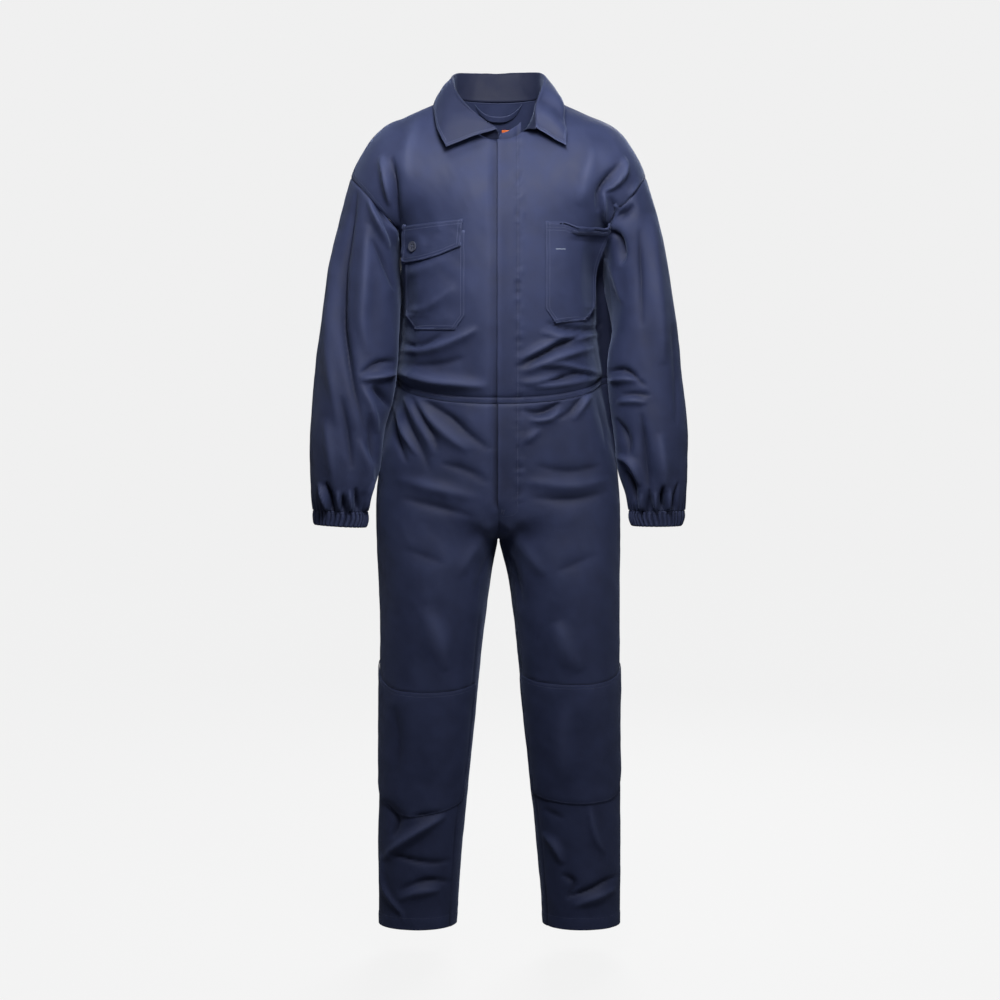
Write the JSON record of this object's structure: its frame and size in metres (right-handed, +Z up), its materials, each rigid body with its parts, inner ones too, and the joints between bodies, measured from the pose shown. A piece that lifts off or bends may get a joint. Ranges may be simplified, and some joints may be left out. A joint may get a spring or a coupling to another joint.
{
  "type": "boiler suit",
  "caption": "Long-sleeved one-piece work overall with a shirt collar, concealed front fly, chest pockets, knee patches and gathered cuffs, in its worn shape.",
  "frame": {"origin": "middle of the neck opening at the height of the shoulder seams, where the worn garment is held", "axes": "+Z up, -Y to the front of the garment, +X to the wearer's left"},
  "size_m": [0.7138, 0.2742, 1.6247],
  "materials": {
    "navy_twill": "navy cotton twill with a slight sheen",
    "orange_label": "plain orange woven patch",
    "dark_button": "dark satin plastic"
  },
  "bodies": {
    "root": {"back": "navy_twill", "collar": "navy_twill", "cuff_left": "navy_twill", "cuff_right": "navy_twill", "fly_facing": "navy_twill", "front_left": "navy_twill", "front_right": "navy_twill", "hanger_loop": "navy_twill", "knee_patch_left": "navy_twill", "knee_patch_right": "navy_twill", "leg_back_left": "navy_twill", "leg_back_right": "navy_twill", "leg_front_left": "navy_twill", "leg_front_right": "navy_twill", "neck_label": "orange_label", "pocket_button": "dark_button", "pocket_flap": "navy_twill", "pocket_left": "navy_twill", "pocket_right": "navy_twill", "sleeve_left": "navy_twill", "sleeve_right": "navy_twill"}
  },
  "joints": []
}
